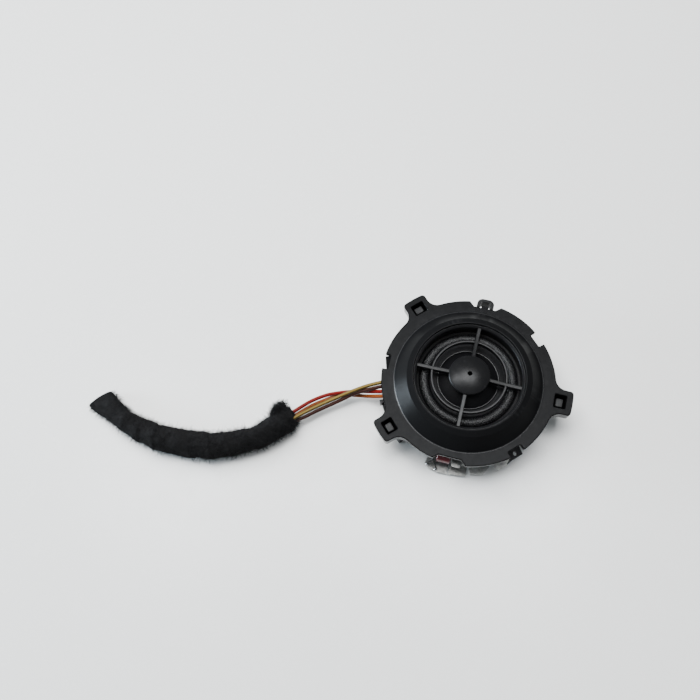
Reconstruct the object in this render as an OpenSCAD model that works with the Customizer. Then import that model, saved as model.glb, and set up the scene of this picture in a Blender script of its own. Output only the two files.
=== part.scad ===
// Car tweeter: a clip-in dome tweeter with a raised bezel, three slotted lugs,
// a moulded grille, a neodymium motor, a series capacitor and a taped wire tail.
// The origin is on the speaker's axis, at the rear cover's flat face, and +Z points
// out of the grille. +X points to the single lug that stands opposite the wires.

/* [Flange and bezel] */
// Height of the flange's front face above the rear cover's flat face
flange_top = 15; // [14:0.5:18]
// Outer radius of the round flange
flange_r = 31; // [30.5:0.5:33]
// Thickness of the flange plate
flange_t = 1.5; // [1.2:0.1:2]
// Radius of the crease where the raised cone starts
cone_base_r = 26.3; // [25.8:0.1:27]
// Radius of the cone's upper edge
cone_top_r = 21.9; // [21.5:0.1:23]
// Height of the cone's upper edge above the flange
cone_h = 4.9; // [4.5:0.1:5]
// Radius of the bore that holds the grille
bore_r = 19.5; // [19.5:0.1:20]
// Height of the bezel's inner lip above the flange
lip_h = 5.3; // [5.2:0.1:6]

/* [Lugs and notches] */
// Distance from the axis to a lug's outer end
lug_reach = 37.1; // [36:0.1:39]
// Width of a lug
lug_w = 9; // [8:0.5:10]
// Depth of a lug's side walls
lug_t = 4.5; // [3:0.5:6]
// Radius of the fillet between a lug and the flange
lug_fillet = 4.2; // [3:0.1:5]
// Slot's size along the radius
slot_radial = 3.8; // [3:0.1:4.2]
// Slot's size across the radius
slot_across = 4.6; // [4:0.1:5]
// Distance from the axis to a slot's centre
slot_r = 32.7; // [32.5:0.1:33]
// Depth of the rim notches
notch_d = 2.2; // [1.5:0.1:2.4]

/* [Grille] */
// Radius of the domed centre disc
disc_r = 7.2; // [6:0.1:8]
// Middle radius of the thin ring
ring_r = 13.1; // [12:0.1:14]
// Width of the thin ring
ring_w = 0.9; // [0.7:0.1:1.4]
// Width of a spoke
spoke_w = 1.5; // [1.2:0.1:2]
// Radius of the hole in the centre disc
pinhole_r = 0.8; // [0.5:0.1:1]

/* [Diaphragm and motor] */
// Radius of the dome
dome_r = 10.4; // [10:0.1:10.6]
// Height of the dome
dome_h = 3.2; // [2.5:0.1:3.6]
// Radius of the surround's crest
crest_r = 15.6; // [15.4:0.1:15.7]
// Outer radius of the steel motor cup
cup_r = 13.4; // [13.2:0.1:13.6]
// Height of the motor cup
cup_h = 8; // [7.5:0.1:8]
// Radius of the magnet
magnet_r = 9.4; // [9:0.1:9.6]

/* [Wires and tape] */
// Outer diameter of one wire
wire_d = 1.4; // [1.2:0.1:1.4]
// Diameter of the felt-taped bundle
tape_d = 10; // [9:0.5:11]

/* [Hidden] */

round_fn = 96;              // segments of large circles
small_fn = 32;              // segments of small circles
eps = 0.01;                 // overlap that keeps a union in one piece
lug_angles = [0, 135, 225];
flange_under = flange_top - flange_t;
lip_z = flange_top + lip_h;
bezel_wall = 1.3;

// Heights of the stack under the flange
seat_z = flange_under;              // basket's ring plate touches the flange here
ring_z = seat_z + 0.6;              // underside of the diaphragm ring
foot_z = ring_z + 0.5;              // underside of the surround's flat feet
skin = 0.2;                         // thickness of the surround and the dome
gasket_z = foot_z + skin;
grille_z = gasket_z + 0.3;
cup_z = 5.2;
cup_floor = 2;
plate_t = 2;
plate_r = magnet_r + 0.5;
plate_top = cup_z + cup_h;
gap_r = plate_r + 1.1;              // inner radius of the motor cup
former_r = plate_r + 0.3;
coil_t = 0.3;
ring_out_r = bore_r - 0.1;
ring_in_r = 16.9;
basket_r = 28.2;
skirt_t = 1.4;
plate_z = seat_z - flange_t;
barrel_r = 16;
rib_z = plate_z - 3.5;              // lower edge of the basket's ribs
cover_t = 1.6;
tab_r = 31.4;                       // reach of the rear feet and the hook
tab_t = 0.4;
tab_z = 8.2;                        // where the inner wires meet the terminals
bay = [-6.2, 4.2];                  // the capacitor bay's sides
riser_angles = [256.5, 280.6, 290, 308.1];   // where the terminals' risers stand on the skirt
notch_mouth = 6;                    // half width of a solder notch at the rim
notch_floor = 4;                    // half width of a solder notch at its bottom
notch_shift = 0.4;                  // the wedge notches sit a little off centre
catch_w = 2.6;                      // width of the catch in the loop
capacitor_at = [-2.2, -27.6, 7.5];
capacitor_r = 2;

// Middle lines of the four wires, from the grommet to the mouth of the felt tape
olive_route = [[-27.5, -4.8, 8.2], [-30.5, -6.2, 8], [-35, -8.4, 7.4], [-39.5, -11.3, 7],
    [-44.9, -14.9, 5.7], [-51.3, -19.8, 5.1], [-55, -23.1, 5.4], [-57.8, -26, 6], [-59.2, -27.6, 6]];
brown_route = [[-27.2, -6.6, 7.6], [-30.2, -7.6, 7.4], [-34.6, -9.7, 6.8], [-39.1, -12, 5.7],
    [-44.6, -16.2, 4.6], [-51, -21.2, 4], [-54.7, -24.5, 4.1], [-57.5, -26.9, 4.3], [-58.9, -28.6, 4.4]];
red_route = [[-27, -8.4, 7.4], [-29.8, -9.3, 7], [-35, -10, 5], [-39.8, -11, 4.4],
    [-44, -12.5, 4.7], [-49, -14.6, 4.4], [-52.8, -17.3, 4.7], [-55.8, -20.2, 5.2], [-60.6, -25.8, 6]];
orange_route = [[-26.7, -10, 6.4], [-29.5, -10.8, 6], [-34.3, -11.3, 3.8], [-39.2, -11.9, 3],
    [-44, -13, 3], [-48.7, -15.9, 3.4], [-52.5, -18.8, 3.6], [-55.5, -21.7, 4.1], [-60, -26.8, 4.6]];
// Middle line of the felt tape, from its mouth to its blunt end
tape_route = [[-59.5, -24.9, 5], [-64.1, -30.8, 5], [-69.5, -36.3, 5], [-77.1, -40.6, 5],
    [-84.9, -43.7, 5], [-92.5, -45, 5], [-101.2, -45.8, 5], [-112.1, -44.9, 5],
    [-122.6, -42, 5], [-133.6, -37.1, 5]];

// ---------- shared shapes ----------

// Ring with a rectangular section
module ring(r0, r1, z0, z1, fn = round_fn) {
    rotate_extrude($fn = fn)
        translate([r0, z0])
            square([r1 - r0, z1 - z0]);
}

// Part of such a ring, from angle a0 to angle a1
module arc(r0, r1, z0, z1, a0, a1) {
    rotate([0, 0, a0])
        rotate_extrude(angle = a1 - a0, $fn = round_fn)
            translate([r0, z0])
                square([r1 - r0, z1 - z0]);
}

module disc(r, z0, z1, fn = round_fn) {
    translate([0, 0, z0])
        cylinder(r = r, h = z1 - z0, $fn = fn);
}

// Radial bar of width w, from radius r0 to radius r1
module bar(r0, r1, w, z0, z1) {
    translate([r0, -w / 2, z0])
        cube([r1 - r0, w, z1 - z0]);
}

// Rectangle with round corners, centred, as an exact outline
module round_rect(size, corner) {
    square([size[0] - 2 * corner, size[1]], center = true);
    square([size[0], size[1] - 2 * corner], center = true);
    for (sx = [-1, 1], sy = [-1, 1])
        translate([sx * (size[0] / 2 - corner), sy * (size[1] / 2 - corner)])
            circle(r = corner, $fn = small_fn);
}

function unit(v) = v / norm(v);

// Point of a smooth curve through the route, a fraction t of the way from point i
function route_at(p, i) = p[max(0, min(len(p) - 1, i))];
function spline(p, i, t) =
    let (a = route_at(p, i - 1), b = route_at(p, i), c = route_at(p, i + 1), d = route_at(p, i + 2))
    0.5 * (2 * b + (c - a) * t + (2 * a - 5 * b + 4 * c - d) * t * t
        + (3 * b - a - 3 * c + d) * t * t * t);
// All the points of that curve, with n of them for each stretch of the route
function smooth(p, n) = concat(
    [for (i = [0:len(p) - 2], k = [0:n - 1]) spline(p, i, k / n)],
    [p[len(p) - 1]]);

// Tube of radius r along the points of a path
module tube(path, r, sides) {
    last = len(path) - 1;
    rings = [for (i = [0:last])
        let (ahead = unit(path[min(i + 1, last)] - path[max(i - 1, 0)]),
            side = unit(cross(ahead, [0, 0, 1])),
            up = cross(side, ahead))
        [for (k = [0:sides - 1]) path[i] + r * (cos(360 * k / sides) * side + sin(360 * k / sides) * up)]];
    points = [for (one = rings, p = one) p];
    walls = [for (i = [0:last - 1], k = [0:sides - 1])
        let (a = i * sides + k, b = i * sides + (k + 1) % sides)
        each [[a, b, b + sides], [a, b + sides, a + sides]]];
    start = [for (k = [0:sides - 1]) sides - 1 - k];
    end = [for (k = [0:sides - 1]) last * sides + k];
    polyhedron(points = points, faces = concat([start], walls, [end]));
}

// ---------- bezel ----------

// Outline of a lug along +X, with its fillets into the flange
module lug_outline() {
    corner = 1.2;
    root = flange_r - 3;
    fillet_y = lug_w / 2 + lug_fillet;
    fillet_x = sqrt(pow(flange_r + lug_fillet, 2) - pow(fillet_y, 2));
    touch = [fillet_x, fillet_y] * flange_r / (flange_r + lug_fillet);
    intersection() {
        circle(r = lug_reach, $fn = round_fn);
        translate([(root + lug_reach) / 2, 0])
            round_rect([lug_reach - root, lug_w], corner);
    }
    for (s = [-1, 1])
        difference() {
            polygon([[root, 0], [touch[0] - 1, s * touch[1]], [touch[0], s * touch[1]],
                [fillet_x, s * fillet_y], [fillet_x, 0]]);
            translate([fillet_x, s * fillet_y])
                circle(r = lug_fillet + 0.03, $fn = 64);
        }
}

// Wedge-sided notch that gives room to solder, open towards -Y
module solder_notch() {
    floor_y = flange_r - notch_d;
    polygon([[-notch_floor, -floor_y], [notch_floor, -floor_y],
        [notch_mouth, -flange_r], [notch_mouth, -flange_r - 2],
        [-notch_mouth, -flange_r - 2], [-notch_mouth, -flange_r]]);
}

// Flange and raised bezel with the slots and notches cut out
module flange_body() {
    difference() {
        union() {
            rotate_extrude($fn = round_fn)
                polygon([[bore_r, seat_z], [bore_r + bezel_wall, seat_z],
                    [bore_r + bezel_wall, lip_z - 1.6], [cone_top_r - 0.4, lip_z - 1.8],
                    [cone_base_r - 1.4, flange_top - 0.2], [cone_base_r - 1.4, flange_under],
                    [flange_r, flange_under], [flange_r, flange_top - 0.2],
                    [flange_r - 0.2, flange_top], [cone_base_r, flange_top],
                    [cone_top_r, flange_top + cone_h], [bore_r + 0.3, lip_z], [bore_r, lip_z - 0.2]]);
            for (a = lug_angles)
                rotate([0, 0, a]) {
                    translate([0, 0, flange_under + 0.2])
                        linear_extrude(flange_t - 0.22)
                            lug_outline();
                    translate([0, 0, flange_top - lug_t])
                        linear_extrude(lug_t - flange_t + 0.3)
                            difference() {
                                lug_outline();
                                circle(r = flange_r - 1.4, $fn = round_fn);
                            }
                }
        }
        // slots for the trim panel's posts, wider at the mouth
        for (a = lug_angles)
            rotate([0, 0, a])
                translate([slot_r, 0, 0]) {
                    translate([0, 0, flange_top - 0.4])
                        linear_extrude(1)
                            round_rect([slot_radial + 0.6, slot_across + 0.6], 0.7);
                    translate([0, 0, flange_top - 3])
                        linear_extrude(4)
                            round_rect([slot_radial, slot_across], 0.6);
                }
        // square notches at 45 and 315 degrees
        for (a = [45, -45])
            rotate([0, 0, a])
                bar(flange_r - notch_d, flange_r + 3, 5.2, 0, flange_top + 1);
        // wedge notches at 90 and 270 degrees
        for (m = [0, 1])
            mirror([0, m, 0])
                translate([notch_shift * (2 * m - 1), 0, 0])
                    linear_extrude(flange_top + 1)
                        solder_notch();
        // keying notch at 180 degrees
        translate([-flange_r - 2, -2.8, 0])
            cube([4.1, 5.4, flange_top + 1]);
    }
}

module mounting_flange() {
    color([0.2, 0.2, 0.21]) {
        flange_body();
        // catch that the basket's loop snaps over
        translate([notch_shift - catch_w / 2, flange_r - notch_d - 0.5, flange_under])
            cube([catch_w, 1.4, flange_t - 0.4]);
    }
}

// ---------- grille ----------

module grille() {
    wall = 1.1;
    top = lip_z - 0.4;
    cap_h = 1.6;
    cap_edge = flange_top + 5.9;
    cap_ball = (disc_r * disc_r + cap_h * cap_h) / (2 * cap_h);
    color([0.16, 0.16, 0.17])
    difference() {
        union() {
            rotate_extrude($fn = round_fn)
                polygon([[bore_r - 0.03 - wall, grille_z], [bore_r - 0.03, grille_z],
                    [bore_r - 0.03, top], [bore_r - 0.3, top], [bore_r - 0.03 - wall, top - 0.6]]);
            // thin ring
            rotate_extrude($fn = round_fn)
                polygon([[ring_r - ring_w / 2, 17.9], [ring_r + ring_w / 2, 17.9],
                    [ring_r + ring_w / 2, 19.3], [ring_r + ring_w / 2 - 0.2, 19.5],
                    [ring_r - ring_w / 2 + 0.2, 19.5], [ring_r - ring_w / 2, 19.3]]);
            // spokes, rising a little towards the disc
            for (a = [0:90:270])
                rotate([0, 0, a])
                    translate([0, spoke_w / 2, 0])
                        rotate([90, 0, 0])
                            linear_extrude(spoke_w)
                                polygon([[disc_r - 1, 18.6], [ring_r, 17.9], [bore_r - 0.7, 17.7],
                                    [bore_r - 0.7, 19.5], [ring_r, 19.55], [disc_r - 1, 20.25]]);
            // domed disc
            intersection() {
                translate([0, 0, cap_edge + cap_h - cap_ball])
                    sphere(r = cap_ball, $fn = round_fn);
                disc(disc_r, cap_edge - 1, cap_edge + cap_h + 1);
            }
        }
        translate([0, 0, 10])
            cylinder(r = pinhole_r, h = 20, $fn = small_fn);
        // hollow under the disc
        translate([0, 0, cap_edge + cap_h - 1.4 - 9])
            cylinder(r = disc_r - 1.4, h = 8, $fn = round_fn);
    }
}

module clamp_gasket() {
    color([0.08, 0.08, 0.08])
        ring(17.9, bore_r - 0.2, gasket_z, grille_z);
}

// ---------- diaphragm ----------

module dome() {
    outer = (dome_r * dome_r + dome_h * dome_h) / (2 * dome_h);
    centre = gasket_z + dome_h - outer;
    color([0.1, 0.1, 0.11])
    rotate_extrude($fn = round_fn)
        intersection() {
            difference() {
                translate([0, centre])
                    circle(r = outer, $fn = 180);
                translate([0, centre])
                    circle(r = outer - skin, $fn = 180);
            }
            translate([0, gasket_z])
                square([dome_r + 1, dome_h + 1]);
        }
}

// Textile surround: an inner flat, a half roll and an outer flat that is clamped
module surround() {
    half = 1.9;
    rise = 1.3;
    arch = (half * half + rise * rise) / (2 * rise);
    color([0.14, 0.14, 0.15])
    rotate_extrude($fn = round_fn)
        union() {
            translate([former_r, foot_z])
                square([crest_r - half - former_r + 0.1, skin]);
            translate([crest_r + half - 0.1, foot_z])
                square([bore_r - 0.3 - crest_r - half + 0.1, skin]);
            intersection() {
                difference() {
                    translate([crest_r, foot_z + rise + skin - arch])
                        circle(r = arch, $fn = 90);
                    translate([crest_r, foot_z + rise + skin - arch])
                        circle(r = arch - skin, $fn = 90);
                }
                translate([crest_r - half, foot_z])
                    square([2 * half, rise + 1]);
            }
        }
}

// Bead that joins the dome, the surround and the former
module dome_joint_ring() {
    color([0.25, 0.25, 0.26])
    rotate_extrude($fn = round_fn)
        translate([dome_r + 0.36, gasket_z + 0.3])
            circle(r = 0.3, $fn = small_fn);
}

module coil_former() {
    color([0.75, 0.6, 0.35])
        ring(former_r, former_r + 0.1, plate_top - plate_t - 0.2, foot_z);
}

module voice_coil() {
    color([0.72, 0.4, 0.2])
        ring(former_r + 0.1, former_r + 0.1 + coil_t, plate_top - plate_t - 0.1, plate_top + 0.1);
}

// Two fine leads that carry the signal from the coil to the basket
module lead_out_wires() {
    color([0.78, 0.5, 0.3])
    for (a = [262, 278])
        rotate([0, 0, a])
            translate([former_r + 0.1, 0, plate_top + 0.7])
                rotate([0, 90, 0])
                    cylinder(r = 0.18, h = ring_in_r - former_r - 0.1, $fn = 16);
}

module diaphragm_ring() {
    color([0.3, 0.3, 0.31])
        ring(ring_in_r, ring_out_r, ring_z, foot_z);
}

// ---------- motor ----------

module damping_pad() {
    color([0.35, 0.33, 0.3])
        disc(magnet_r - 0.6, plate_top, plate_top + 0.8);
}

module top_plate() {
    color([0.7, 0.7, 0.68])
        disc(plate_r, plate_top - plate_t, plate_top);
}

module magnet() {
    color([0.6, 0.6, 0.62])
        disc(magnet_r, cup_z + cup_floor, plate_top - plate_t);
}

module motor_cup() {
    edge = 0.8;
    color([0.68, 0.67, 0.62])
    rotate_extrude($fn = round_fn)
        polygon([[0, cup_z], [cup_r - edge, cup_z], [cup_r, cup_z + edge], [cup_r, plate_top],
            [gap_r, plate_top], [gap_r, cup_z + cup_floor], [0, cup_z + cup_floor]]);
}

module rear_pad() {
    color([0.2, 0.2, 0.2])
        ring(4, 11.6, cover_t, cup_z);
}

// ---------- basket ----------

// Loop that snaps over the flange's catch, along +Y
module snap_loop() {
    outer_w = 6.2;
    reach = 32.5;
    root = 26.5;
    difference() {
        translate([notch_shift, (reach + root) / 2, flange_top - 5.1])
            linear_extrude(4.8)
                round_rect([outer_w, reach - root], 2);
        translate([notch_shift, reach - 2.75, flange_under - 5])
            linear_extrude(flange_top)
                round_rect([outer_w - 2.4, 3.5], 0.9);
        disc(flange_r - notch_d + 0.35, flange_under, flange_top);
    }
}

// Thin pierced hook that slopes out of the notch at 315 degrees, along +X, with a side barb
module pierced_hook() {
    difference() {
        union() {
            translate([0, 2.5, 0])
                rotate([90, 0, 0])
                    linear_extrude(5)
                        polygon([[basket_r - 0.6, 11.1], [28.6, 11.1], [tab_r, 9.6], [tab_r, 10.6],
                            [28.6, 12.5], [basket_r - 0.6, 12.5]]);
            translate([0, 0, 9.8])
                linear_extrude(0.8)
                    polygon([[30.2, -1.6], [31.2, -0.8], [31.8, -4], [31.4, -4]]);
        }
        translate([30, 0, 0])
            cylinder(r = 0.7, h = 20, $fn = small_fn);
    }
}

// Key behind the notch at 180 degrees, sloping down towards -Y
module slanted_key() {
    intersection() {
        translate([0, 0, 5])
            linear_extrude(10)
                polygon([[-basket_r + 0.6, -2.7], [-29.3, -2.7], [-30.9, 2.5], [-basket_r + 0.6, 3.6]]);
        translate([-32, 0, 0])
            rotate([90, 0, 90])
                linear_extrude(6)
                    polygon([[-3, 8.2], [3.8, 11.6], [3.8, 13.3], [-3, 9.6]]);
    }
}

module basket() {
    skirt_low = 5;
    color([0.13, 0.13, 0.14])
    difference() {
        union() {
            ring(cup_r + 0.05, basket_r, plate_z, seat_z);
            ring(ring_in_r, ring_out_r, seat_z - eps, ring_z);
            ring(cup_r + 0.05, barrel_r, cover_t, rib_z);
            ring(cup_r + 0.05, barrel_r + 0.4, rib_z - 0.3, plate_z + eps);
            ring(cup_r - 1.4, cup_r + 0.1, cup_z - 1, cup_z);
            ring(basket_r - skirt_t, basket_r, skirt_low, plate_z + eps);
            for (a = [0:30:330])
                rotate([0, 0, a])
                    bar(barrel_r - 0.5, basket_r - 0.4, 1.2, rib_z, plate_z + eps);
            snap_loop();
            rotate([0, 0, -45])
                pierced_hook();
            slanted_key();
            // guide that the wires pass beside
            rotate([0, 0, 207])
                bar(basket_r - 0.6, 32.3, 1.1, plate_z - 3, plate_z + 0.6);
            arc(basket_r - 0.6, 31.6, plate_z - 2.6, flange_top - lug_t - 0.1, 207, 216);
            // feet level with the rear cover, on both sides
            for (a = [129, 231])
                rotate([0, 0, a])
                    bar(basket_r - 0.8, tab_r, 2, 0, flange_top - lug_t - 0.1);
        }
        // bay for the capacitor, open through the solder notch
        translate([bay[0], -30, 0])
            cube([bay[1] - bay[0], 6, flange_top]);
        // wire outlet in the skirt
        rotate([0, 0, 196])
            bar(basket_r - skirt_t - 1, basket_r + 1, 8.6, 4, 10.4);
        // slots where the terminals' inner tabs pass through the skirt
        for (a = riser_angles)
            rotate([0, 0, a])
                bar(basket_r - skirt_t - 1, basket_r + 1, 1.8, tab_z - 0.1, tab_z + tab_t + 0.1);
    }
    // two saddles that hold the capacitor in its bay
    color([0.13, 0.13, 0.14])
    for (x = [-4.6, -0.4])
        difference() {
            translate([x + 0.8, 0, 0])
                rotate([90, 0, -90])
                    linear_extrude(0.8)
                        polygon([[23.6, plate_z - 0.4], [24.05, plate_z - 1.2], [24.05, 4.4], [29.2, 4.4], [29.2, 6.6],
                            [25.2, 6.6], [25.2, seat_z - 3], [24.4, seat_z], [23.6, seat_z]]);
            translate(capacitor_at - [5, 0, 0])
                rotate([0, 90, 0])
                    cylinder(r = capacitor_r + 0.02, h = 10, $fn = 48);
        }
}

module rear_cover() {
    vent_r = 0.9;
    color([0.12, 0.12, 0.13])
    difference() {
        union() {
            disc(barrel_r - 0.4, 0, cover_t);
            ring(cup_r - 1.3, cup_r, cover_t - eps, cover_t + 1.4);
        }
        for (a = [0:60:300])
            rotate([0, 0, a])
                translate([9.5, 0, -1])
                    cylinder(r = vent_r, h = 6, $fn = small_fn);
    }
}

// Block that grips the four wires in the skirt's outlet
module wire_grommet() {
    color([0.1, 0.1, 0.1])
    rotate([0, 0, 196])
        bar(basket_r - skirt_t, basket_r + 0.4, 8.4, 4.6, 10.2);
}

// ---------- crossover parts ----------

// Tinned terminal: a foot of the given plan that shows past the rim, a riser on the
// skirt and an inner tab for its wire
module terminal(plan, foot, riser) {
    half = 1.7;
    color([0.72, 0.72, 0.7]) {
        translate([0, 0, foot])
            linear_extrude(tab_t)
                difference() {
                    polygon(plan);
                    circle(r = basket_r + 0.02, $fn = round_fn);
                }
        arc(basket_r + 0.07, basket_r + 0.4, foot + 0.2, plate_z - 1.5, riser - half, riser + half);
        rotate([0, 0, riser])
            bar(basket_r - 2.6, basket_r + 0.2, 1.6, tab_z, tab_z + tab_t);
    }
}

module terminal_wire_in() {
    terminal([[-7.6, -27], [-8.4, -30.1], [-6.2, -31.6], [-3.1, -32.3], [0.1, -32.2], [0.1, -28]],
        1, riser_angles[0]);
}

module terminal_cap_out() {
    terminal([[0.6, -28], [0.6, -32.2], [2.8, -31.7], [3.4, -29.4], [3, -27.9]], 1.5, riser_angles[1]);
    color([0.72, 0.72, 0.7]) {
        // thin apron from the foot to the riser
        translate([0, 0, 1.6])
            linear_extrude(0.2)
                difference() {
                    polygon([[2, -27.9], [2.6, -31.4], [3.3, -31.9], [6.8, -31.4], [6.6, -27.3]]);
                    circle(r = basket_r + 0.04, $fn = round_fn);
                }
        // upper tab for the capacitor's lead
        translate([0.9, -30.2, 7.6])
            cube([3.1, 3.6, tab_t]);
        translate([3.9, -28.7, 7.6])
            cube([1.6, 0.7, tab_t]);
    }
}

module terminal_return() {
    terminal([[7.3, -27.2], [8.4, -30.3], [12.8, -29.1], [14.5, -25.6], [13.2, -24.8]], 1, riser_angles[2]);
}

module terminal_link() {
    terminal([[15.4, -23.4], [16.1, -25.6], [17.6, -26.4], [20.8, -23.2], [21.9, -20.3], [20, -19.6]],
        1, riser_angles[3]);
    // bright wing under the pierced hook
    color([0.72, 0.72, 0.7])
        arc(basket_r + 0.1, basket_r + 0.36, 4, 9.4, 308, 318.5);
}

module capacitor() {
    length = 5;
    corner = 0.6;
    color([0.45, 0.07, 0.09])
    translate(capacitor_at)
        rotate([0, 90, 0])
            rotate_extrude($fn = 48)
                union() {
                    translate([0, -length / 2 + corner])
                        square([capacitor_r, length - 2 * corner]);
                    translate([0, -length / 2])
                        square([capacitor_r - corner, length]);
                    for (s = [-1, 1])
                        translate([capacitor_r - corner, s * (length / 2 - corner)])
                            circle(r = corner, $fn = small_fn);
                }
}

module capacitor_seal() {
    color([0.07, 0.07, 0.07])
    translate(capacitor_at - [2.5, 0, 0])
        rotate([0, -90, 0])
            cylinder(r = capacitor_r - 0.5, h = 0.8, $fn = 48);
}

module capacitor_leads() {
    lead_r = 0.3;
    sides = 8;
    end = capacitor_at - [3.3, 0, 0];
    color([0.3, 0.3, 0.3]) {
        tube(smooth([end + [0, -0.6, 0.4], [-5.6, -29.6, 6.6], [-4.5, -30.6, 4.4], [-4, -31.2, 2.8], [-4.1, -31.4, 1.5]], 3),
            lead_r, sides);
        tube(smooth([end + [0, -0.2, -0.8], [-6.1, -29.2, 5.6], [-7.2, -30, 3.4], [-7.4, -30.2, 1.5]], 3),
            lead_r, sides);
        tube([capacitor_at + [2.5, 0, 0], capacitor_at + [3.2, 0.2, 0.6], [1.9, -27.1, 8.3]], lead_r, sides);
    }
}

module solder_joints() {
    joint_r = 0.75;
    color([0.8, 0.8, 0.8])
    for (p = [[-4.1, -31.4, 1.4], [-7.4, -30.2, 1.4], [1.9, -27.1, 8]])
        intersection() {
            translate(p)
                sphere(r = joint_r, $fn = small_fn);
            translate([p[0], p[1], p[2] + 1])
                cube(2, center = true);
        }
}

// Route of a wire inside the skirt: in from the grommet, round the barrel, out to a terminal
function polar(r, a, z) = [r * cos(a), r * sin(a), z];
function inner_route(start, r, a_end) =
    let (a0 = atan2(start[1], start[0]) + 360, z = 7.2, steps = 8)
    concat([start, start * 0.92 - [0, 0, 0.3]],
        [for (k = [0:steps]) polar(r, a0 + 18 + (a_end - a0 - 32) * k / steps, z)],
        [polar(basket_r - 3.8, a_end - 3, tab_z - 0.9), polar(basket_r - 2.3, a_end, tab_z - 0.6)]);

// The wires' inner runs, from the grommet round to the terminals
module inner_wires() {
    starts = [orange_route[0], red_route[0], brown_route[0], olive_route[0]];
    color([0.7, 0.55, 0.2])
    for (k = [0:3])
        tube(smooth(inner_route(starts[k], 22.6 - 1.45 * k, riser_angles[k]), 2), wire_d / 2, 8);
}

// ---------- wires and tape ----------

module wire(route) {
    tube(route, wire_d / 2, 8);
}

module wire_olive() {
    color([0.55, 0.48, 0.2])
        wire(olive_route);
}

module wire_brown() {
    color([0.22, 0.13, 0.08])
        wire(brown_route);
}

module wire_red() {
    color([0.55, 0.1, 0.1])
        wire(red_route);
}

module wire_orange() {
    color([0.75, 0.45, 0.15])
        wire(orange_route);
}

module felt_tape() {
    color([0.09, 0.09, 0.09])
        tube(smooth(tape_route, 2), tape_d / 2, 12);
}

mounting_flange();
grille();
clamp_gasket();
dome();
surround();
dome_joint_ring();
coil_former();
voice_coil();
lead_out_wires();
diaphragm_ring();
damping_pad();
top_plate();
magnet();
motor_cup();
rear_pad();
basket();
rear_cover();
wire_grommet();
terminal_wire_in();
terminal_cap_out();
terminal_return();
terminal_link();
capacitor();
capacitor_seal();
capacitor_leads();
solder_joints();
inner_wires();
wire_olive();
wire_brown();
wire_red();
wire_orange();
felt_tape();
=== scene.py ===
"""Looks of a clip-in car tweeter with a short felt-taped wire tail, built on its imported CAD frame.

Lengths in this file are millimetres, in the frame of the CAD part, and mm() turns them into metres.
The speaker's axis is Z, the flange's top is at Z = 15, and the floor is at Z = 0.
"""

import math
import random

import bmesh
import bpy
from mathutils import Matrix, Vector, noise


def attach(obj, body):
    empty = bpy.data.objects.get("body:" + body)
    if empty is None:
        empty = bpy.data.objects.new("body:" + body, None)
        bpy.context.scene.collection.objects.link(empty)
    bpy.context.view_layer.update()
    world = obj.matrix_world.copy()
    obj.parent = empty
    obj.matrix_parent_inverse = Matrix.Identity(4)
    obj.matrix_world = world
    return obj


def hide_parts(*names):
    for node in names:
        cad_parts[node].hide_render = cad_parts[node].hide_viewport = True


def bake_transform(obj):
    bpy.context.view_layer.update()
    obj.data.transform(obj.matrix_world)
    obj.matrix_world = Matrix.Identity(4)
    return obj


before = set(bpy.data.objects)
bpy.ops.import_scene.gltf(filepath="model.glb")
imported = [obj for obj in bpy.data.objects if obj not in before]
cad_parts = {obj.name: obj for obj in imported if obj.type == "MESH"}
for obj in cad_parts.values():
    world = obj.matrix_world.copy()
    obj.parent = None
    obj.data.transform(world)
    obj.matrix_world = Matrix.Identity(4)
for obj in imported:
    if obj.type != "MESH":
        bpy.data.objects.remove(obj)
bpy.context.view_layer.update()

MM = 0.001
TAU = 2 * math.pi

# Driving sizes, the same as the CAD part's
FLANGE_TOP = 15.0
FLANGE_UNDER = 13.5
FLANGE_R = 31.0
NOTCH_FLOOR = 28.8
KEY_FLOOR = 28.9
CONE_BASE_R = 26.3
CONE_TOP_R = 21.9
CONE_H = 4.9
LIP_H = 5.3
BORE_R = 19.5
LUG_ANGLES = (0, 135, 225)
LUG_REACH = 37.1
LUG_HALF = 4.5
LUG_T = 4.5
LUG_FILLET = 4.2
SLOT_R = 32.7
SLOT_RADIAL = 3.8
SLOT_ACROSS = 4.6
DISC_R = 7.2
PINHOLE_R = 0.8
RING_R = 13.1
FOOT_Z = 14.6
CREST_R = 15.6
DOME_R = 10.4
WIRE_D = 1.4
TAPE_D = 10.0


def mm(*values):
    """Millimetres as a vector in metres."""
    return Vector(values) * MM


# ---------- camera ----------

def make_camera():
    """The photograph's view: a 36 mm wide sensor behind a 36.1 mm lens, held close above the tweeter."""
    data = bpy.data.cameras.new("camera")
    data.sensor_width = 36.0
    data.lens = 36.1
    data.clip_start, data.clip_end = 0.01, 20.0
    camera = bpy.data.objects.new("camera", data)
    azimuth, elevation, roll = (math.radians(a) for a in (-65.687, 69.305, -9.910))
    back = Vector((math.cos(elevation) * math.cos(azimuth),
                   math.cos(elevation) * math.sin(azimuth), math.sin(elevation)))
    level = Vector((-math.sin(azimuth), math.cos(azimuth), 0))
    above = back.cross(level)
    right = math.cos(roll) * level + math.sin(roll) * above
    up = -math.sin(roll) * level + math.cos(roll) * above
    turn = Matrix((right, up, back)).transposed()
    camera.matrix_world = Matrix.Translation(mm(-6.50, -81.81, 255.57)) @ turn.to_4x4()
    bpy.context.scene.collection.objects.link(camera)
    bpy.context.scene.camera = camera


make_camera()


# ---------- mesh helpers ----------

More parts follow.
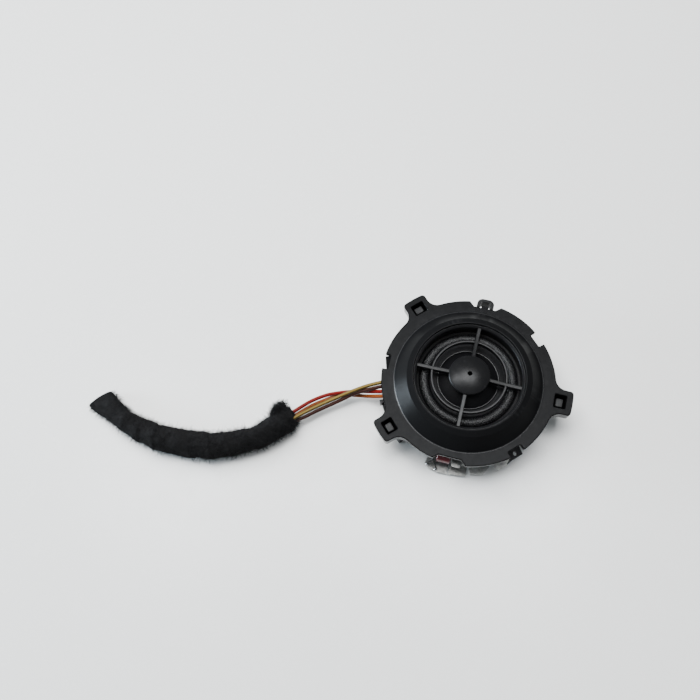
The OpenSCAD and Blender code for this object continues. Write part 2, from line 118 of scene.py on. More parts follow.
def new_object(name, vertices, faces, material, smooth=40, uvs=None):
    """A mesh object from millimetre vertices. Edges sharper than smooth degrees stay sharp."""
    mesh = bpy.data.meshes.new(name)
    mesh.from_pydata([Vector(v) * MM for v in vertices], [], faces)
    if uvs is not None:
        layer = mesh.uv_layers.new(name="UVMap")
        for loop in mesh.loops:
            layer.data[loop.index].uv = uvs[loop.vertex_index]
    mesh.validate()
    piece = bpy.data.objects.new(name, mesh)
    bpy.context.scene.collection.objects.link(piece)
    if material is not None:
        mesh.materials.append(material)
    shade(piece, smooth)
    return piece


def shade(piece, angle):
    """Smooth shading, with edges sharper than the angle kept sharp."""
    mesh = piece.data
    for polygon in mesh.polygons:
        polygon.use_smooth = True
    work = bmesh.new()
    work.from_mesh(mesh)
    for edge in work.edges:
        edge.smooth = edge.calc_face_angle(math.pi) < math.radians(angle)
    work.to_mesh(mesh)
    work.free()


def paint(piece, material, test):
    """Gives another material to the faces whose middle, in millimetres, and normal pass the test."""
    mesh = piece.data
    mesh.materials.append(material)
    for polygon in mesh.polygons:
        if test(polygon.center / MM, polygon.normal):
            polygon.material_index = len(mesh.materials) - 1


def weigh(piece):
    """Shading normals that follow the large faces, so that flat faces look flat."""
    piece.modifiers.new("weigh", "WEIGHTED_NORMAL").keep_sharp = True


def mesh_parts(*parts):
    """Joins (vertices, faces) pairs into one such pair."""
    vertices, faces = [], []
    for more_vertices, more_faces in parts:
        base = len(vertices)
        vertices += list(more_vertices)
        faces += [tuple(base + i for i in face) for face in more_faces]
    return vertices, faces


def revolved(profile, steps=240, closed=True):
    """(vertices, faces) of a profile of (radius, height) points turned round the axis.
    The profile runs anticlockwise seen with the axis on its left, so the faces look outwards."""
    count = len(profile)
    vertices, rings = [], []
    for radius, height in profile:
        if radius < 1e-6:
            rings.append([len(vertices)] * steps)
            vertices.append((0.0, 0.0, height))
        else:
            rings.append(list(range(len(vertices), len(vertices) + steps)))
            vertices += [(radius * math.cos(TAU * k / steps), radius * math.sin(TAU * k / steps), height)
                         for k in range(steps)]
    faces = []
    for i in range(count if closed else count - 1):
        low, high = rings[i], rings[(i + 1) % count]
        for k in range(steps):
            face = []
            for index in (low[k], low[(k + 1) % steps], high[(k + 1) % steps], high[k]):
                if index not in face:
                    face.append(index)
            if len(face) > 2:
                faces.append(tuple(face))
    return vertices, faces


def rounded(points, closed=True, segments=4):
    """Points of (x, y) or (x, y, corner radius), with each corner replaced by an arc of its radius."""
    made, count = [], len(points)
    for i, point in enumerate(points):
        radius = point[2] if len(point) > 2 else 0
        here = Vector(point[:2])
        if radius <= 0 or (not closed and i in (0, count - 1)):
            made.append((here.x, here.y))
            continue
        before = Vector(points[i - 1][:2]) - here
        after = Vector(points[(i + 1) % count][:2]) - here
        angle = before.angle(after)
        reach = min(radius / math.tan(angle / 2), 0.49 * before.length, 0.49 * after.length)
        radius = reach * math.tan(angle / 2)
        centre = here + (before.normalized() + after.normalized()).normalized() * radius / math.sin(angle / 2)
        start = here + before.normalized() * reach - centre
        end = here + after.normalized() * reach - centre
        sweep = start.angle_signed(end)
        for k in range(segments + 1):
            turn = -sweep * k / segments
            cos, sin = math.cos(turn), math.sin(turn)
            made.append((centre.x + start.x * cos - start.y * sin, centre.y + start.x * sin + start.y * cos))
    return made


def arc(centre, radius, start, end, steps):
    """Points of an arc, its angles in degrees."""
    return [(centre[0] + radius * math.cos(math.radians(start + (end - start) * k / steps)),
             centre[1] + radius * math.sin(math.radians(start + (end - start) * k / steps)))
            for k in range(steps + 1)]


def turned(points, angle):
    """Plan points turned round the axis by an angle in degrees."""
    cos, sin = math.cos(math.radians(angle)), math.sin(math.radians(angle))
    return [(x * cos - y * sin, x * sin + y * cos) for x, y in points]


def inset(points, distance):
    """A closed anticlockwise outline moved inwards by a distance."""
    made, count = [], len(points)
    for i in range(count):
        a, b, c = (Vector(points[j % count]) for j in (i - 1, i, i + 1))
        one, two = (b - a).normalized(), (c - b).normalized()
        normal = Vector((-(one + two).y, (one + two).x)).normalized()
        share = max(normal.dot(Vector((-one.y, one.x))), 0.5)
        made.append(tuple(b + normal * distance / share))
    return made


def loft(rings, caps=True):
    """(vertices, faces) of rings of equal length, each a list of 3-D points, joined in order."""
    count = len(rings[0])
    vertices = [point for ring in rings for point in ring]
    faces = []
    for r in range(len(rings) - 1):
        for k in range(count):
            a, b = r * count + k, r * count + (k + 1) % count
            faces.append((a, b, b + count, a + count))
    if caps:
        faces.append(tuple(reversed(range(count))))
        faces.append(tuple(range((len(rings) - 1) * count, len(rings) * count)))
    return vertices, faces


def slab(outline, low, high, top_round=0.25, low_round=0.15, segments=4, chamfer=0.0):
    """A plate of the outline from height low to high. Its lower edge is rounded, and its upper edge is
    rounded too, or chamfered where chamfer is given."""
    rings = []
    for k in range(segments + 1):
        turn = math.pi / 2 * k / segments
        rings.append([(x, y, low + low_round * (1 - math.sin(turn)))
                      for x, y in inset(outline, low_round * (1 - math.cos(turn)))])
    rings.reverse()
    if chamfer:
        for inwards, down in ((0, 1.5 * chamfer), (chamfer, 0.02), (chamfer + 0.02, 0)):
            rings.append([(x, y, high - down) for x, y in inset(outline, inwards)])
        return loft(rings)
    for k in range(segments + 1):
        turn = math.pi / 2 * k / segments
        rings.append([(x, y, high - top_round * (1 - math.sin(turn)))
                      for x, y in inset(outline, top_round * (1 - math.cos(turn)))])
    return loft(rings)


# ---------- material helpers ----------

class Nodes:
    """A material's node tree, with short calls for the nodes used here."""

    def __init__(self, name):
        self.material = bpy.data.materials.new(name)
        self.material.use_nodes = True
        self.tree = self.material.node_tree
        self.shader = self.tree.nodes["Principled BSDF"]
        self.place = self.tree.nodes.new("ShaderNodeTexCoord").outputs["Object"]

    def node(self, kind, **values):
        made = self.tree.nodes.new("ShaderNode" + kind)
        for key, value in values.items():
            setattr(made, key, value)
        return made

    def feed(self, socket, value):
        if isinstance(value, bpy.types.NodeSocket):
            self.tree.links.new(value, socket)
        else:
            socket.default_value = value

    def set(self, **values):
        for key, value in values.items():
            self.feed(self.shader.inputs[key.replace("_", " ")], value)

    def noise(self, size, detail=2.0, rough=0.5, place=None, stretch=None):
        """Noise whose features are about size millimetres across."""
        made = self.node("TexNoise")
        self.feed(made.inputs["Vector"], self.scaled(place, stretch) if stretch else (place or self.place))
        made.inputs["Scale"].default_value = 1 / (size * MM)
        made.inputs["Detail"].default_value = detail
        made.inputs["Roughness"].default_value = rough
        return made.outputs["Fac"]

    def cells(self, size, place=None, feature="F1"):
        made = self.node("TexVoronoi", feature=feature)
        self.feed(made.inputs["Vector"], place or self.place)
        made.inputs["Scale"].default_value = 1 / (size * MM)
        return made.outputs["Distance"]

    def scaled(self, place, stretch):
        made = self.node("Mapping")
        self.feed(made.inputs["Vector"], place or self.place)
        made.inputs["Scale"].default_value = stretch
        return made.outputs["Vector"]

    def ramp(self, value, *stops):
        """A colour ramp; each stop is (place, grey or colour)."""
        made = self.node("ValToRGB")
        self.feed(made.inputs["Fac"], value)
        elements = made.color_ramp.elements
        while len(elements) < len(stops):
            elements.new(0.5)
        for element, (place, colour) in zip(elements, stops):
            element.position = place
            element.color = (colour,) * 3 + (1,) if isinstance(colour, (int, float)) else (*colour, 1)
        return made.outputs["Color"]

    def range(self, value, low, high, start=0.0, end=1.0):
        made = self.node("MapRange")
        self.feed(made.inputs["Value"], value)
        for key, number in (("From Min", start), ("From Max", end), ("To Min", low), ("To Max", high)):
            made.inputs[key].default_value = number
        return made.outputs["Result"]

    def math(self, operation, a, b=0.0):
        made = self.node("Math", operation=operation)
        self.feed(made.inputs[0], a)
        self.feed(made.inputs[1], b)
        return made.outputs[0]

    def mix(self, factor, a, b):
        """Between two colours."""
        made = self.node("Mix", data_type="RGBA")
        self.feed(made.inputs["Factor"], factor)
        for socket, value in ((made.inputs[6], a), (made.inputs[7], b)):
            self.feed(socket, value if isinstance(value, bpy.types.NodeSocket) else (*value, 1))
        return made.outputs[2]

    def bump(self, height, depth, strength=1.0, normal=None):
        """A bump of depth millimetres."""
        made = self.node("Bump")
        self.feed(made.inputs["Height"], height)
        made.inputs["Strength"].default_value = strength
        made.inputs["Distance"].default_value = depth * MM
        if normal is not None:
            self.feed(made.inputs["Normal"], normal)
        return made.outputs["Normal"]

    def soft_edge(self, radius):
        """Normals that round an edge by a radius in millimetres."""
        made = self.node("Bevel", samples=4)
        made.inputs["Radius"].default_value = radius * MM
        return made.outputs["Normal"]


def plastic(name, colour, rough=0.45, grain=0.12, depth=0.012, edge=0.12, dust=0.0, level=0.2, blotch=6.0):
    """Moulded plastic: fine spark-eroded grain, uneven sheen, rubbed edges and a little dust."""
    n = Nodes(name)
    tint = n.noise(blotch, 4, 0.6)
    dark = tuple(0.9 * c for c in colour)
    light = tuple(1.1 * c for c in colour)
    body = n.mix(tint, dark, light)
    worn = n.ramp(n.node("NewGeometry").outputs["Pointiness"], (0.5, 0.0), (0.6, 1.0))
    worn = n.math("MULTIPLY", worn, n.range(n.noise(2.5, 3, 0.7), 0.1, 0.6, 0.4, 0.65))
    body = n.mix(worn, body, tuple(min(1, 2.2 * c + 0.006) for c in colour))
    if dust > 0:
        speck = n.range(n.cells(0.9), 1.0, 0.0, 0.03, 0.075)
        speck = n.math("MULTIPLY", speck, n.range(n.noise(3.1, 2, 0.6), 0.0, dust, 0.52, 0.66))
        body = n.mix(speck, body, (0.12, 0.12, 0.115))
    n.set(Base_Color=body, IOR=1.5, Specular_IOR_Level=level,
          Roughness=n.range(n.noise(1.8, 4, 0.65), rough - 0.03, rough + 0.05, 0.3, 0.7))
    n.set(Normal=n.bump(n.noise(grain, 3, 0.6), depth, 1.0, n.soft_edge(edge)))
    return n.material


def metal(name, colour, rough=0.3, brush=(1, 1, 12), depth=0.004, edge=0.08, metallic=1.0):
    """Plated metal with fine rolling marks, blotches of oxide and softened edges."""
    n = Nodes(name)
    stain = n.noise(1.6, 5, 0.65)
    body = n.mix(n.range(stain, 0.0, 1.0, 0.35, 0.75), colour, tuple(0.62 * c for c in colour))
    n.set(Base_Color=body, Metallic=metallic,
          Roughness=n.range(n.noise(0.8, 3, 0.6), rough - 0.08, rough + 0.14, 0.3, 0.7))
    lines = n.noise(0.25, 3, 0.6, stretch=brush)
    n.set(Normal=n.bump(lines, depth, 1.0, n.soft_edge(edge)))
    return n.material


def fabric(name, colour, size, depth, rough=0.85, sheen=0.3, shine=None, level=0.25):
    """Fibrous material: crossed thread noise, uneven dye and a soft sheen."""
    n = Nodes(name)
    one = n.noise(size, 4, 0.7, stretch=(1, 6, 6))
    two = n.noise(size, 4, 0.7, stretch=(6, 1, 6))
    three = n.noise(size * 0.6, 5, 0.75)
    weave = n.math("ADD", n.math("MAXIMUM", one, two), n.math("MULTIPLY", three, 0.6))
    body = n.mix(n.range(weave, 0.0, 1.0, 0.55, 1.1), tuple(0.55 * c for c in colour),
                 tuple(1.5 * c for c in colour))
    if shine is not None:
        rough = n.range(n.noise(size * 2, 3, 0.6), *shine, 0.35, 0.65)
    n.set(Base_Color=body, Roughness=rough, Sheen_Weight=sheen, Sheen_Roughness=0.6, Specular_IOR_Level=level)
    n.set(Normal=n.bump(weave, depth))
    return n.material


def wire_skin(name, colour, stripe, stripe_at, stripe_width):
    """Glossy cable insulation with a printed stripe along it. V runs round the wire."""
    n = Nodes(name)
    tint = n.range(n.noise(3.0, 3, 0.6), 0.0, 1.0, 0.3, 0.7)
    body = n.mix(tint, tuple(0.82 * c for c in colour), tuple(1.12 * c for c in colour))
    uv = n.tree.nodes["Texture Coordinate"].outputs["UV"]
    axes = n.node("SeparateXYZ")
    n.feed(axes.inputs[0], uv)
    around = n.math("ADD", axes.outputs[1], n.range(n.noise(1.2, 3, 0.6), -0.02, 0.02))
    around = n.math("FRACT", n.math("ADD", around, 1.5 - stripe_at))
    off = n.math("ABSOLUTE", n.math("SUBTRACT", around, 0.5))
    inside = n.range(off, 1.0, 0.0, stripe_width * 0.5, stripe_width * 0.5 + 0.03)
    body = n.mix(inside, body, stripe)
    grime = n.range(n.noise(0.9, 4, 0.7), 0.0, 0.35, 0.55, 0.8)
    body = n.mix(grime, body, tuple(0.35 * c for c in colour))
    n.set(Base_Color=body, Roughness=n.range(n.noise(0.7, 3, 0.6), 0.26, 0.42, 0.3, 0.7), Specular_IOR_Level=0.2)
    n.set(Normal=n.bump(n.noise(0.5, 3, 0.5), 0.02))
    return n.material


# plastics, rubber and fabrics
BEZEL = plastic("bezel_plastic", (0.0042, 0.0043, 0.0046), rough=0.31, grain=0.22, depth=0.009, dust=0.3,
                level=0.07)
CONE = plastic("bezel_cone_plastic", (0.0042, 0.0043, 0.0046), rough=0.33, grain=0.22, depth=0.009, dust=0.3,
               level=0.045)
# A lighter copy of the bezel plastic: a painted highlight along the cone's foot
CREASE_PAINTED_HIGHLIGHT = plastic("bezel_crease_painted_highlight", (0.0085, 0.0087, 0.009), rough=0.28, grain=0.22, depth=0.004,
                 level=0.6)
BEZEL_WALL = plastic("bezel_side_wall", (0.004, 0.0041, 0.0044), rough=0.22, grain=0.4, depth=0.004, level=0.8)
# Near-black matte plastic, painted shade: it darkens the slots inside and draws a dark line on the rim's chamfer
SLOT_AND_RIM_PAINTED_SHADE = plastic("slot_and_rim_painted_shade", (0.0012, 0.0012, 0.0013), rough=0.7, grain=0.2, depth=0.01, level=0.02)
SLOT_PAD = plastic("slot_pad", (0.009, 0.0092, 0.0095), rough=0.42, grain=0.25, depth=0.05, dust=0.5,
                   level=0.3, blotch=0.9)
GRILLE = plastic("grille_plastic", (0.0036, 0.0036, 0.0039), rough=0.3, grain=0.24, depth=0.01, dust=0.25,
                 level=0.3)
FRAME = plastic("frame_plastic", (0.0034, 0.0034, 0.0037), rough=0.4, grain=0.2, depth=0.01)
RUBBER = plastic("rubber", (0.004, 0.004, 0.004), rough=0.6, grain=0.3, depth=0.02)
FOAM = fabric("foam", (0.012, 0.012, 0.012), 0.35, 0.12, rough=0.95, sheen=0.1)
FELT_PAD = fabric("felt_pad", (0.12, 0.11, 0.1), 0.3, 0.12)
DOME = fabric("dome_textile", (0.0026, 0.0026, 0.003), 0.14, 0.03, sheen=0.0, shine=(0.4, 0.6), level=0.15)
GLUE = plastic("joint_glue", (0.004, 0.004, 0.0045), rough=0.24, grain=0.5, depth=0.03, level=0.5)
FORMER = plastic("former_film", (0.3, 0.17, 0.05), rough=0.25, level=0.5)
LACQUER = plastic("capacitor_lacquer", (0.06, 0.003, 0.006), rough=0.14, grain=1.2, depth=0.03, edge=0.2,
                  level=0.6)
# metals
TINNED = metal("tinned_steel", (0.62, 0.62, 0.6), rough=0.42)
# A darker copy of the same tinned steel: painted shade for two of the terminals
TINNED_PAINTED_SHADE = metal("tinned_steel_painted_shade", (0.36, 0.36, 0.345), rough=0.42)
PLATED = metal("plated_steel", (0.5, 0.485, 0.44), rough=0.34)
NICKEL = metal("magnet_nickel", (0.52, 0.52, 0.53), rough=0.2)
COPPER = metal("copper", (0.6, 0.3, 0.16), rough=0.3, brush=(1, 1, 40), depth=0.02)
SOLDER = metal("solder", (0.5, 0.5, 0.5), rough=0.25, depth=0.01)
LEAD = metal("lead_wire", (0.03, 0.03, 0.03), rough=0.4)


# ---------- wires and felt tape ----------

# Middle lines, the same points as in the CAD part
OLIVE_ROUTE = [(-27.5, -4.8, 8.2), (-30.5, -6.2, 8), (-35, -8.4, 7.4), (-39.5, -11.3, 7), (-44.9, -14.9, 5.7),
               (-51.3, -19.8, 5.1), (-55, -23.1, 5.4), (-57.8, -26, 6), (-59.2, -27.6, 6)]
BROWN_ROUTE = [(-27.2, -6.6, 7.6), (-30.2, -7.6, 7.4), (-34.6, -9.7, 6.8), (-39.1, -12, 5.7),
               (-44.6, -16.2, 4.6), (-51, -21.2, 4), (-54.7, -24.5, 4.1), (-57.5, -26.9, 4.3),
               (-58.9, -28.6, 4.4)]
RED_ROUTE = [(-27, -8.4, 7.4), (-29.8, -9.3, 7), (-35, -10, 5), (-39.8, -11, 4.4), (-44, -12.5, 4.7),
             (-49, -14.6, 4.4), (-52.8, -17.3, 4.7), (-55.8, -20.2, 5.2), (-60.6, -25.8, 6)]
ORANGE_ROUTE = [(-26.7, -10, 6.4), (-29.5, -10.8, 6), (-34.3, -11.3, 3.8), (-39.2, -11.9, 3), (-44, -13, 3),
                (-48.7, -15.9, 3.4), (-52.5, -18.8, 3.6), (-55.5, -21.7, 4.1), (-60, -26.8, 4.6)]
TAPE_ROUTE = [(-59.5, -24.9, 5), (-64.1, -30.8, 5), (-69.5, -36.3, 5), (-77.1, -40.6, 5), (-84.9, -43.7, 5),
              (-92.5, -45, 5), (-101.2, -45.8, 5), (-112.1, -44.9, 5), (-122.6, -42, 5), (-133.6, -37.1, 5)]


def smooth_line(route, steps):
    """A smooth curve through the route's points, with that many steps for each stretch."""
    points = [Vector(p) for p in route]
    points = [points[0]] + points + [points[-1]]
    made = []
    for i in range(1, len(points) - 2):
        a, b, c, d = points[i - 1:i + 3]
        for k in range(steps):
            t = k / steps
            made.append(0.5 * (2 * b + (c - a) * t + (2 * a - 5 * b + 4 * c - d) * t * t
                               + (3 * b - a - 3 * c + d) * t ** 3))
    return made + [points[-1]]


def line_length(points):
    """Length of a line along its points."""
    return sum((b - a).length for a, b in zip(points, points[1:]))


def even_line(points, steps):
    """The same line, with points evenly spaced along it."""
    total, made, walked, i = line_length(points), [], 0.0, 0
    for k in range(steps + 1):
        goal = total * k / steps
        while i < len(points) - 2 and walked + (points[i + 1] - points[i]).length < goal:
            walked += (points[i + 1] - points[i]).length
            i += 1
        stretch = (points[i + 1] - points[i]).length
        made.append(points[i].lerp(points[i + 1], (goal - walked) / stretch if stretch else 0))
    return made


def frames(points):
    """(side, up) at each point of a line that keeps roughly level."""
    made = []
    for i in range(len(points)):
        ahead = (points[min(i + 1, len(points) - 1)] - points[max(i - 1, 0)]).normalized()
        side = ahead.cross(Vector((0, 0, 1))).normalized()
        made.append((side, side.cross(ahead)))
    return made


def make_wire(name, node, route, skin):
    """A thin automotive wire, slightly uneven where it was flexed."""
    line = even_line(smooth_line(route, 8), 90)
    sides, rings, uvs = 24, [], []
    for i, (point, (side, up)) in enumerate(zip(line, frames(line))):
        dent = 1 + 0.02 * noise.noise(point * 0.9)
        ring = []
        for k in range(sides):
            turn = TAU * k / sides
            ring.append(point + (side * math.cos(turn) + up * math.sin(turn)) * dent * WIRE_D / 2)
            uvs.append((i / (len(line) - 1), k / sides))
        rings.append(ring)
    vertices, faces = loft(rings)
    piece = new_object(name, vertices, faces, skin, smooth=60, uvs=uvs)
    seam = piece.data.uv_layers["UVMap"].data
    for polygon in piece.data.polygons:
        loops = list(polygon.loop_indices)
        if len(loops) == 4 and max(seam[j].uv.y for j in loops) > 0.9 and min(seam[j].uv.y for j in loops) < 0.1:
            for j in loops:
                if seam[j].uv.y < 0.1:
                    seam[j].uv.y += 1
    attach(piece, "frame")
    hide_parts(node)
    return piece


OLIVE = wire_skin("wire_olive", (0.05, 0.033, 0.005), (0.15, 0.1, 0.022), stripe_at=0.25, stripe_width=0.12)
BROWN = wire_skin("wire_brown", (0.024, 0.005, 0.0025), (0.06, 0.035, 0.006), stripe_at=0.1, stripe_width=0.08)
RED = wire_skin("wire_red", (0.12, 0.0022, 0.0018), (0.2, 0.045, 0.006), stripe_at=0.1, stripe_width=0.1)
ORANGE = wire_skin("wire_orange", (0.15, 0.034, 0.004), (0.03, 0.002, 0.0014), stripe_at=0.66, stripe_width=0.3)
make_wire("wire_olive_skin", "wire_olive", OLIVE_ROUTE, OLIVE)
make_wire("wire_brown_skin", "wire_brown", BROWN_ROUTE, BROWN)
make_wire("wire_red_skin", "wire_red", RED_ROUTE, RED)
make_wire("wire_orange_skin", "wire_orange", ORANGE_ROUTE, ORANGE)

# The tape's half width and half height along its length, and its torn tuft's place round the mouth as a
# share of a turn
TAPE_WIDTHS = [(0.0, 3.2), (0.02, 4.2), (0.05, 4.7), (0.12, 4.5), (0.2, 4.2), (0.32, 4.6), (0.42, 4.9),
               (0.55, 4.9), (0.72, 4.3), (0.84, 3.7), (0.92, 4.2), (1.0, 4.9)]
TAPE_HEIGHTS = [(0.0, 3.4), (0.03, 4.4), (0.06, 4.7), (0.3, 4.8), (0.6, 4.6), (0.8, 3.8), (0.9, 2.8), (1.0, 1.6)]
TUFT_SIDE = 0.03


def along(table, t):
    """Smoothly between the (place, value) pairs of a table."""
    for (a, low), (b, high) in zip(table, table[1:]):
        if t <= b:
            share = (t - a) / (b - a)
            share = share * share * (3 - 2 * share)
            return low + (high - low) * share
    return table[-1][1]


def tape_point(t, turn, point, side, up):
    """Surface of the wound tape, a fraction t along it, at an angle round it."""
    half = along(TAPE_WIDTHS, t)
    tall = along(TAPE_HEIGHTS, t)
    wind = (t * 9.2 + turn / TAU + 0.25 * math.sin(t * 17)) % 1.0
    lap = 0.36 * (1 - wind) ** 1.6 if wind > 0.06 else 0.36 * wind / 0.06
    here = point + side * math.cos(turn) * half + up * math.sin(turn) * tall
    lump = 0.5 * noise.noise(here * 0.22) + 0.3 * noise.noise(here * 0.7 + Vector((7, 1, 3)))
    nap = 0.2 * noise.noise(here * 2.2) + 0.12 * noise.noise(here * 5.0 + Vector((3, 9, 4)))
    grow = 1 + (lap - 0.2 + lump + nap) / 4.6
    low = up * (tall - TAPE_D / 2)
    return point + low + side * math.cos(turn) * half * grow + up * math.sin(turn) * tall * grow


def make_tape():
    """Fleece tape wound round the wires, with a ragged mouth and a flattened, folded far end."""
    line = even_line(smooth_line(TAPE_ROUTE, 10), 260)
    axes = frames(line)
    sides, rings = 80, []
    count = len(line)
    for i, (point, (side, up)) in enumerate(zip(line, axes)):
        t = i / (count - 1)
        ahead = side.cross(up) * -1
        ring = []
        for k in range(sides):
            turn = TAU * k / sides
            place = tape_point(t, turn, point, side, up)
            # the far end is cut at a slant
            slant = max(0.0, (t - 0.9) / 0.1) * (1.0 - 1.3 * math.cos(turn))
            place = place + ahead * slant
            place.z = max(place.z, 0.12 + 0.1 * abs(noise.noise(place * 2)))
            ring.append(place)
        rings.append(ring)
    # the mouth folds in a little way, and the far end closes to a flat seam
    mouth = line[0]
    ahead = (line[1] - line[0]).normalized()
    rim = rings[0]
    for share, depth in ((0.93, -0.35), (0.75, -0.25), (0.5, 0.6), (0.3, 2.5)):
        ring = []
        for edge in rim:
            ragged = 0.5 * noise.noise(edge * 1.3)
            ring.append(mouth + (edge - mouth) * share + ahead * (depth + ragged * (1 - share) * 2))
        rings.insert(0, ring)
    last = rings[-1]
    centre = sum(last, Vector()) / sides
    back = (line[-1] - line[-2]).normalized()
    for share, out in ((0.93, 0.3), (0.7, 0.45), (0.35, 0.5)):
        rings.append([centre + (p - centre) * share + back * out for p in last])
    vertices, faces = loft(rings)
    n = Nodes("felt_tape")
    fibre = n.noise(0.28, 6, 0.8)
    strand = n.math("MAXIMUM", n.noise(0.5, 5, 0.75, stretch=(1, 5, 2)),
                    n.noise(0.5, 5, 0.75, stretch=(5, 1, 3)))
    pile = n.math("ADD", fibre, n.math("MULTIPLY", strand, 0.8))
    dye = n.ramp(pile, (0.6, (0.0016, 0.0016, 0.0017)), (0.85, (0.005, 0.005, 0.0052)),
                 (1.0, (0.014, 0.014, 0.0145)))
    n.set(Base_Color=dye, Roughness=0.95, Specular_IOR_Level=0.04, Sheen_Weight=0.015, Sheen_Roughness=0.4)
    n.set(Normal=n.bump(pile, 0.25))
    tape = new_object("felt_tape_wrap", vertices, faces, n.material, smooth=80)
    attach(tape, "frame")
    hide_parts("felt_tape")

    dice = random.Random(11)
    hairs = []

    def hair(root, normal, reach, lean, thick):
        """One loose fibre: a thin tapered prism that curls away from its root."""
        drift = Vector((dice.gauss(0, 1), dice.gauss(0, 1), dice.gauss(0, 0.7)))
        heading = (normal + drift * lean).normalized()
        curl = Vector((dice.gauss(0, 1), dice.gauss(0, 1), dice.gauss(0, 1))) * 0.55
        place, points = root - normal * 0.1, []
        for _ in range(5):
            points.append(place)
            heading = (heading + curl * 0.5 + Vector((0, 0, -0.08))).normalized()
            place = place + heading * reach / 4
            place.z = max(place.z, 0.06)
        rings = []
        for j, p in enumerate(points):
            around = heading.orthogonal().normalized()
            across = heading.cross(around)
            size = thick * (1 - 0.75 * j / 4)
            rings.append([p + (around * math.cos(TAU * m / 3) + across * math.sin(TAU * m / 3)) * size
                          for m in range(3)])
        hairs.append(loft(rings))

    def outward(i, k):
        """A point of the tape's surface, and the direction away from the tape's middle there."""
        root = rings[i][k]
        return root, (root - sum(rings[i], Vector()) / sides).normalized()

    inner = 4                       # rings added before the route's first
    for _ in range(7500):
        i = inner + dice.randrange(count - 1)
        k = dice.randrange(sides)
        p, normal = outward(i, k)
        if normal.z < -0.75:
            continue
        hair(p, normal, abs(dice.gauss(0.8, 0.7)) + 0.4, 0.6, 0.07)
    # wisps that stand well clear, and the torn tuft at the upper side of the mouth
    for _ in range(1500):
        i = inner + dice.randrange(count - 1)
        k = dice.randrange(sides)
        p, normal = outward(i, k)
        if normal.z > -0.4:
            hair(p, normal, dice.uniform(1.4, 3.0), 0.7, 0.06)
    for _ in range(1500):
        i = inner + 5 + int(abs(dice.gauss(0, 7)))
        k = int(sides * (TUFT_SIDE + dice.gauss(0, 0.06))) % sides
        p, normal = outward(i, k)
        hair(p, (normal + Vector((0.1, 0.35, 0.1))).normalized(), dice.uniform(1.2, 4.4), 0.4, 0.09)
    # short ends round the mouth's rim
    for _ in range(500):
        k = dice.randrange(sides)
        p = rings[inner][k]
        hair(p, (ahead * -1 + (p - mouth).normalized() * 0.5).normalized(), dice.uniform(0.4, 1.3), 0.7, 0.045)
    h = Nodes("felt_fibre")
    h.set(Base_Color=h.ramp(h.noise(0.6, 2), (0.3, (0.002, 0.002, 0.0022)), (0.7, (0.014, 0.014, 0.0145))),
          Roughness=0.8, Specular_IOR_Level=0.06)
    h.set(Normal=h.bump(h.noise(0.1, 2), 0.01))
    fuzz = new_object("felt_tape_fibres", *mesh_parts(*hairs), h.material, smooth=80)
    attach(fuzz, "frame")


make_tape()


# ---------- bezel ----------

def lug_side():
    """Half of a lug's outline in its own frame, x outwards: from the rim's fillet to the end's corner."""
    fillet_y = LUG_HALF + LUG_FILLET
    fillet_x = math.sqrt((FLANGE_R + LUG_FILLET) ** 2 - fillet_y ** 2)
    touch = math.degrees(math.atan2(fillet_y, fillet_x))
    corner = 1.2
    corner_x = math.sqrt((LUG_REACH - corner) ** 2 - (LUG_HALF - corner) ** 2)
    end = math.degrees(math.atan2(LUG_HALF - corner, corner_x))
    points = arc((fillet_x, -fillet_y), LUG_FILLET, 180 - touch, 90, 14)
    points += arc((corner_x, -(LUG_HALF - corner)), corner, -90, -end, 8)
    points += arc((0, 0), LUG_REACH, -end, 0, 4)
    return points


def lug_outline():
    """A lug's outline in its own frame, from one rim fillet to the other."""
    points = lug_side()
    return points + [(x, -y) for x, y in reversed(points[:-1])]


def notch_outline(floor_r, low, high, low_rim, high_rim):
    """A notch in the rim, in its own frame: its floor's ends and where its sides meet the rim."""
    rim = [math.sqrt(FLANGE_R ** 2 - y ** 2) for y in (low_rim, high_rim)]
    beside = [(FLANGE_R * math.cos(y), FLANGE_R * math.sin(y)) for y in
              (math.asin(low_rim / FLANGE_R) - 0.05, math.asin(high_rim / FLANGE_R) + 0.05)]
    corners = [beside[0], (rim[0], low_rim, 0.35), (floor_r, low, 0.4), (floor_r, high, 0.4),
               (rim[1], high_rim, 0.35), beside[1]]
    return rounded(corners, closed=False)[1:-1]


def rim_between(one, other):
    """Points of the rim's arc that lie between two of its points, anticlockwise."""
    start, end = (math.degrees(math.atan2(y, x)) for x, y in (one, other))
    gap = (end - start) % 360
    return arc((0, 0), FLANGE_R, start, start + gap, max(int(gap / 0.9), 1))[1:-1]


def flange_outline():
    """The flange's whole outline, anticlockwise: three lugs, two wedge and two square notches, one key notch."""
    features = [(angle, lug_outline()) for angle in LUG_ANGLES]
    features += [(angle, notch_outline(NOTCH_FLOOR, -2.6, 2.6, -2.6, 2.6)) for angle in (45, 315)]
    features += [(angle, notch_outline(NOTCH_FLOOR, -4.4, 3.6, -6.25, 5.45)) for angle in (90, 270)]
    features.append((180, notch_outline(KEY_FLOOR, -2.6, 2.8, -2.6, 2.8)))
    outline = []
    for angle, points in sorted(features, key=lambda f: f[0]):
        points = turned(points, angle)
        if outline:
            outline += rim_between(outline[-1], points[0])
        outline += points
    return outline + rim_between(outline[-1], outline[0])


def rectangle(width, height, corner, segments=4):
    """A rectangle round the origin, with rounded corners."""
    x, y = width / 2, height / 2
    return rounded([(-x, -y, corner), (x, -y, corner), (x, y, corner), (-x, y, corner)], segments=segments)


def cut(piece, *cutters):
    """Takes the cutters out of a piece with exact booleans."""
    for cutter in cutters:
        modifier = piece.modifiers.new("cut", "BOOLEAN")
        modifier.operation, modifier.object, modifier.solver = "DIFFERENCE", cutter, "EXACT"
        modifier.use_self = True
        bpy.context.view_layer.update()
        graph = bpy.context.evaluated_depsgraph_get()
        mesh = bpy.data.meshes.new_from_object(piece.evaluated_get(graph))
        piece.modifiers.clear()
        piece.data = mesh
    for cutter in cutters:
        bpy.data.objects.remove(cutter)


